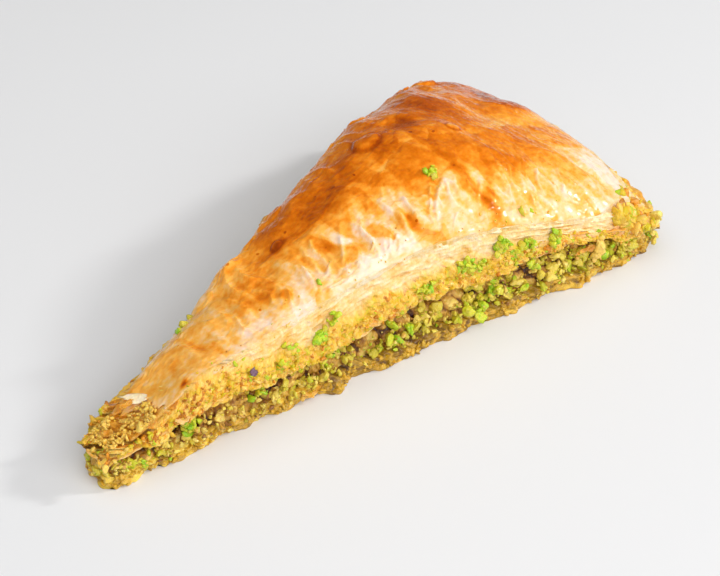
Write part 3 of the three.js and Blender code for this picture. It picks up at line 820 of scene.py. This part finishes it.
# Green clusters on the front cut, as u, height and how many bits
GREEN_CLUSTERS = [(0.371, 19.9, 3), (0.531, 16.8, 8), (0.6, 18.5, 8), (0.662, 20.6, 9), (0.708, 18.4, 9),
                  (0.721, 12, 3), (0.764, 17.1, 3), (0.299, 17.4, 2), (0.347, 16.1, 6), (0.69, 17, 7),
                  (0.62, 17.2, 6), (0.13, 8, 5), (0.133, 6, 5), (0.36, 9.4, 5), (0.25, 7, 3),
                  (0.28, 13.5, 3)]
# Clusters below this height lie deeper in, on the filling
FILLING_TOP, FILLING_DEPTH = 11, 1.8
# A golden bit of pastry that stands upright in the filling, in millimetres
UPRIGHT_BIT = [(127.4, -33.2, 6.4), (127.8, -33.6, 7.8), (128.3, -33.8, 9.2), (128.8, -33.8, 10.6),
               (129.4, -33.6, 11.8)]
# Where the rim's front corner lies, as shares of the stack's samples
CORNER_START, CORNER_END = 0.372, 0.41
crumb_rng = np.random.default_rng(11)
tip_u = crumb_rng.uniform(0, 0.085, size=TIP_CRUMBS)
tip_v = crumb_rng.uniform(-1, 1, size=TIP_CRUMBS)
tip_v = np.where(tip_u > 0.05, -np.abs(tip_v), tip_v)
tip_x, tip_y = outline(tip_u, tip_v, 1.6)
tip_z = crust_edge(tip_u, tip_v) + puff(tip_u, tip_v) + crumb_rng.uniform(-0.8, 0.1, size=TIP_CRUMBS)
tip_sizes = 0.25 + 1.1 * crumb_rng.beta(0.8, 3, size=TIP_CRUMBS)
side_places = places_on(crumb_rng, stack_grid, SIDE_CRUMBS, 0, 0.42, (-0.3, 0.3))
high_places = places_on(crumb_rng, stack_grid, HIGH_CRUMBS, 0.4, 0.9, (-0.3, 0.2))
high_places = high_places[high_places[:, 0] < 0.25 * LENGTH]
crumb_u = crumb_rng.uniform(0.1, 0.95, size=CRUST_CRUMBS)
crust_places, *_ = crust_surface(crumb_u, -1 + 0.7 * crumb_rng.beta(0.6, 2, size=CRUST_CRUMBS), -0.1)
corner_samples = crumb_rng.integers(
    int(CORNER_START * STACK_SAMPLES), int(CORNER_END * STACK_SAMPLES), size=CORNER_CRUMBS)
corner_rows = crumb_rng.integers(STACK_ROWS // 6, STACK_ROWS, size=CORNER_CRUMBS)
corner_places = stack_grid[corner_samples, corner_rows]
tip_places = np.stack([tip_x, tip_y, tip_z], -1)
golden_places = np.concatenate([
    UPRIGHT_BIT, corner_places, side_places, high_places, crust_places, tip_places])
small_sizes = 0.25 + 0.9 * crumb_rng.beta(1, 2, size=len(side_places) + len(high_places))
golden_sizes = np.concatenate([
    crumb_rng.uniform(1.3, 1.7, size=len(UPRIGHT_BIT)), crumb_rng.uniform(0.7, 2.1, size=CORNER_CRUMBS),
    small_sizes, crumb_rng.uniform(0.15, 0.4, size=CRUST_CRUMBS), tip_sizes])
golden_kinds = crumb_rng.beta(1.3, 1.1, size=len(golden_places))
golden_kinds[:len(UPRIGHT_BIT)] = 0.74
golden_kinds[-TIP_CRUMBS:] = 0.6 + 0.24 * crumb_rng.beta(1.6, 1.6, size=TIP_CRUMBS)
golden = scattered(
    "golden_crumbs", crumb_rng, *crumb_shapes, golden_places, golden_sizes, golden_kinds, crumbed=1)
dress(golden, crumbed, "top_phyllo")

# Green bits on the crust, as u, v and how many
CRUST_GREENS = [(0.629, -0.31, 9), (0.224, 0.9, 7), (0.37, -0.62, 2), (0.75, -0.9, 2)]
green_places = []
for place_u, place_v, count in CRUST_GREENS:
    for _ in range(count):
        near_u, near_v = crumb_rng.normal((place_u, place_v), (0.006, 0.03))
        green_places.append(crust_surface(near_u, near_v, -0.2)[0])
for place_u, height, count in GREEN_CLUSTERS:
    for _ in range(3 * count):
        inset = crumb_rng.uniform(-1, 0.4) + FILLING_DEPTH * (height < FILLING_TOP)
        px, py = outline(crumb_rng.normal(place_u, 0.006), FRONT, inset)
        green_places.append([px, py, crumb_rng.normal(height, 0.8)])
green_count = len(green_places)
green = scattered(
    "green_bits", crumb_rng, *crumb_shapes, np.array(green_places),
    sizes=crumb_rng.uniform(0.4, 1.3, size=green_count), kinds=crumb_rng.uniform(0, 0.2, size=green_count))
dress(green, nut_finish, "top_phyllo")

# Flakes
# Scraps of the baked sheets: corners of the crust that curl up along its edges, a pale torn end and golden
# scraps on the tip, a strand and an amber scrap low on the cut, and a purple bit of pistachio skin.
FLAKE_POINTS = 9
FLAKE_THICKNESS = 0.16
TIP_FLAKES = 3
# Flakes on the crust, as u, v, lift, heading, tilt, width, length, curl and browning
CRUST_FLAKES = [(0.073, 0.27, 0.5, -44, 6, 2.4, 7, 0.4, 0.02), (0.94, 0.95, 0.3, 20, -20, 1.6, 4, 0.3, 0.5),
                (0.69, 0.97, 0.2, 10, -20, 1.6, 4, 0.3, 0.6), (0.44, 0.97, 0.2, 14, -20, 1.6, 4, 0.3, 0.6)]
# Flakes on the front cut, as u, height, tilt, width, length, curl and browning
CUT_FLAKES = [(0.826, 9.6, 60, 1.6, 6, 0.8, 0.7), (0.335, 1.6, 10, 2.5, 5, 0.4, 0.5),
              (0.43, 13.6, 15, 1.2, 5, 0.3, 0.4), (0.56, 13.5, 12, 1.2, 6, 0.3, 0.35),
              (0.3, 12.3, 15, 1.5, 6, 0.3, 0.5), (0.18, 12.6, 20, 2, 5, 0.5, 0.5),
              (0.12, 11, 30, 2.5, 4, 0.6, 0.35), (0.98, 8.5, 40, 2, 4, 0.6, 0.4)]
flake_rng = np.random.default_rng(23)


def flake(middle, heading, tilt, width, length, curl, ragged=1):
    """A small torn sheet with both its faces, bent along its length, turned and tilted about its middle."""
    s, t = np.meshgrid(np.linspace(-1, 1, FLAKE_POINTS), np.linspace(-1, 1, FLAKE_POINTS), indexing="ij")
    seed = int(flake_rng.integers(1000))
    across = s * width / 2 * (1 + 0.45 * ragged * lumps(t * 2.4, 0, 0, 1, seed) - 0.25 * t**2)
    along = t * length / 2 * (1 + 0.35 * ragged * lumps(s * 2.4, 0, 0, 1, seed + 1) - 0.25 * s**2)
    up = curl * (t**2 + 0.3 * s * t) + 0.2 * lumps(across, along, 0, 1.5, seed + 2)
    lean, turn = math.radians(tilt), math.radians(heading)
    faces = []
    for level in (0, -FLAKE_THICKNESS):
        y = across * math.cos(lean) - (up + level) * math.sin(lean)
        z = across * math.sin(lean) + (up + level) * math.cos(lean)
        turned_x = along * math.cos(turn) - y * math.sin(turn)
        turned_y = along * math.sin(turn) + y * math.cos(turn)
        faces.append(np.stack([turned_x, turned_y, z], -1).reshape(-1, 3) + middle)
    return np.concatenate(faces)


flake_points, flake_tones = [], []
for place_u, place_v, lift, heading, tilt, width, length, curl, brown in CRUST_FLAKES:
    place = crust_surface(place_u, place_v, -lift)[0]
    flake_points.append(flake(place, heading, tilt, width, length, curl))
    flake_tones.append(brown)
for place_u, height, tilt, width, length, curl, brown in CUT_FLAKES:
    px, py = outline(place_u, FRONT, 0)
    flake_points.append(flake([px, py, height], -12 + 20 * flake_rng.normal(), tilt, width, length, curl))
    flake_tones.append(brown)
for _ in range(TIP_FLAKES):
    px, py = outline(flake_rng.uniform(0, 0.075), flake_rng.uniform(-0.9, 0.9), 0.5)
    height = flake_rng.uniform(10, 11.5) + 2 * smooth(px / LENGTH, 0, 0.06)
    flake_points.append(flake([px, py, height], flake_rng.uniform(0, 360), flake_rng.uniform(-40, 40),
                              flake_rng.uniform(1, 2), flake_rng.uniform(2, 4), 0.5))
    flake_tones.append(flake_rng.uniform(0.5, 0.9))
one_face = FLAKE_POINTS**2
upper_faces = grid_faces(FLAKE_POINTS, FLAKE_POINTS)
flake_edge = grid_edge(FLAKE_POINTS, FLAKE_POINTS)
flake_hem = ring_faces(flake_edge, flake_edge + one_face)
one_flake = np.concatenate([upper_faces, upper_faces + one_face, flake_hem])
flake_faces = np.concatenate([one_flake + number * 2 * one_face for number in range(len(flake_points))])
flakes = mesh_piece("loose_flakes", np.concatenate(flake_points), flake_faces.tolist(),
                    browning=np.repeat(flake_tones, 2 * one_face))
dress(flakes, crumbed, "top_phyllo")

chip_x, chip_y = outline(0.24, FRONT, -0.6)
chip_points = flake([chip_x, chip_y, 15.6], 12, 65, 2, 2.8, -0.4, 0.4)
chip = mesh_piece("pistachio_skin_chip", chip_points, one_flake.tolist(), kind=np.ones(2 * one_face))
dress(chip, nut_finish, "top_phyllo")

# Bottom leaves
# A few phyllo leaves that carried the filling in the tray, soaked through with syrup and butter: thin,
# olive-brown and granular, ragged along the cut, with crumbs stuck to them.
BASE_SAMPLES, BASE_ROWS = 1200, 18
BASE_CRUMBS = 460
BASE_HEIGHT = 3
BASE_LINES = 4
# Where the bottom draws in along the front, as u, half width in u and how far
BASE_BAYS = [(0.22, 0.1, 1.4), (0.5, 0.13, -0.9)]
# Where a bit of it sticks out there, as u and how far
BASE_SPURS = [(0.216, 1.6), (0.29, 1.2), (0.374, 2.4), (0.464, 1.8), (0.11, 1.4), (0.15, 1), (0.58, 1.2),
              (0.68, 1.2), (0.8, 1.4), (0.92, 1.2), (0.03, 1.2)]


def soaked_phyllo():
    """Syrup-soaked phyllo: deep straw to olive brown, see-through at its thin edges, with a wet gloss."""
    material, tree = start_material("soaked_phyllo")
    place = millimetres(tree)
    browning = tone_with(tree, "browning", uneven(tree, place, 1.8, 4, -0.2, 0.2))
    color = add_node(tree, "ValToRGB", {"Fac": browning}, stops=[
        (0.0, "#fad454"), (0.3, "#dcaa30"), (0.55, "#a8801a"), (0.8, "#7a5210"), (1.0, "#462a08")])
    finish_surface(tree, {
        "Base Color": color, "Roughness": uneven(tree, place, 0.9, 3, 0.2, 0.45), "IOR": 1.46,
        "Specular IOR Level": 0.3, "Subsurface Weight": 0.2, "Subsurface Radius": (1.0, 0.6, 0.1),
        "Subsurface Scale": 0.001, "Coat Weight": 0.5, "Coat Roughness": 0.1,
    }, place, size=0.5, depth=0.4, strength=0.7)
    return material


soaked = soaked_phyllo()
base_u, base_v, base_w, base_x, base_y, base_lumps = side_wall(BASE_SAMPLES, BASE_ROWS)
base_z = 0.05 + BASE_HEIGHT * base_w * (1 + 0.25 * base_lumps(5, 160))
base_leaf, base_round = leaf_edges(base_w * BASE_LINES + 0.5 * base_lumps(9, 161))
base_grain, base_number = grains(base_x, base_y, base_z, 1.5, 162)
base_out = 0.25 * base_round + 0.6 * base_grain + 0.5 * base_lumps(2.2, 166, base_leaf * LEAVES_APART)
base_out = base_out + 0.6 * base_lumps(9, 167) + 0.7 * np.clip(base_lumps(2.6, 169), 0, 1)
for spur_u, spur in BASE_SPURS:
    along = np.exp(-(((base_u - spur_u) * LENGTH / 3) ** 2))
    base_out += spur * along * (base_v == FRONT) * (1 - 0.7 * base_w)
base_out += 0.6 * base_lumps(3, 170, base_z)
base_out += 0.8 * base_lumps(1.7, 172, base_z) * fade(base_u, 0.1, 0.3)
base_inset = 1.1 - base_out + bumps(BASE_BAYS, base_u) * (base_v == FRONT)
base_inset -= 0.8 * fade(base_u, 0, 0.05) * fade(base_v, -1, 0.4)
base_grid = np.stack([*outline(base_u, base_v, base_inset), base_z], -1)
# Besides the tone, painted shade: darker in the gaps between the grains
base_tone_and_shade = 0.5 - 0.42 * fade(base_u, 0.24, 0.44) + 0.4 * (base_number - 0.5) + 0.3 * (1 - base_grain)
base_tone_and_shade = base_tone_and_shade + 0.25 * base_lumps(5, 171, base_z) - 0.1 * smooth(base_u, 0.52, 0.7)
base = walled_piece("bottom_leaves", base_grid, browning=np.clip(base_tone_and_shade, 0, 1))
dress(base, soaked, "bottom_phyllo")

base_rng = np.random.default_rng(31)
stuck_places = places_on(base_rng, base_grid, BASE_CRUMBS, 0.2, 0.9, (-0.2, 0.2))
stuck_sizes = base_rng.uniform(0.4, 1.1, size=BASE_CRUMBS)
stuck_kinds = base_rng.uniform(0, 0.8, size=BASE_CRUMBS)
stuck = scattered(
    "stuck_crumbs", base_rng, *crumb_shapes, stuck_places, stuck_sizes, stuck_kinds, browning=0.35)
dress(stuck, soaked, "bottom_phyllo")

# Table, light and camera
# A plain pale table, a small bright window at the right that glints on the syrup, a wide wall of soft light
# in front, and a soft ceiling light.
CAMERA_AZIMUTH = math.radians(-47)
CAMERA_ELEVATION = math.radians(37)
CAMERA_DISTANCE = 0.442
CAMERA_VIEW = math.radians(22)
CAMERA_AIM = Vector((87.4 - TIP_TO_ORIGIN, 5.5, 0)) / 1000

bpy.ops.mesh.primitive_plane_add(size=6)
table = bpy.context.object
table.name = "table"
table_material, table_tree = start_material("pale_table")
finish_surface(table_tree, {"Base Color": linear("#e7e7e7"), "Roughness": 0.5})
table.data.materials.append(table_material)


def soft_light(name, direction, distance, size, power, color):
    data = bpy.data.lights.new(name, "AREA")
    data.shape = "RECTANGLE"
    data.size, data.size_y = size
    data.energy = power
    data.color = linear(color)[:3]
    lamp = bpy.data.objects.new(name, data)
    lamp.location = Vector(direction).normalized() * distance
    lamp.rotation_euler = (-lamp.location).to_track_quat("-Z", "Y").to_euler()
    bpy.context.scene.collection.objects.link(lamp)
    return lamp


soft_light("window", (0.72, -0.5, 0.5), 1.2, (0.1, 0.15), 6, "#ffffff")
soft_light("wall_of_light", (-0.25, -0.9, 0.75), 1.3, (1.8, 0.9), 14.5, "#fdfdff")
soft_light("ceiling", (-0.2, 0.1, 1), 1.4, (1.6, 1.6), 8.8, "#ffffff").visible_glossy = False

world = bpy.data.worlds.new("room")
world.use_nodes = True
world.node_tree.nodes["Background"].inputs["Color"].default_value = linear("#f6f6f6")
world.node_tree.nodes["Background"].inputs["Strength"].default_value = 0.2
bpy.context.scene.world = world
bpy.context.scene.view_settings.view_transform = "Standard"

lens = bpy.data.cameras.new("camera")
lens.sensor_width = 36
lens.lens = lens.sensor_width / 2 / math.tan(CAMERA_VIEW / 2)
camera = bpy.data.objects.new("camera", lens)
backwards = Vector((
    math.sin(CAMERA_AZIMUTH) * math.cos(CAMERA_ELEVATION),
    -math.cos(CAMERA_AZIMUTH) * math.cos(CAMERA_ELEVATION),
    math.sin(CAMERA_ELEVATION),
))
camera.location = CAMERA_AIM + backwards * CAMERA_DISTANCE
camera.rotation_euler = backwards.to_track_quat("Z", "Y").to_euler()
bpy.context.scene.collection.objects.link(camera)
bpy.context.scene.camera = camera
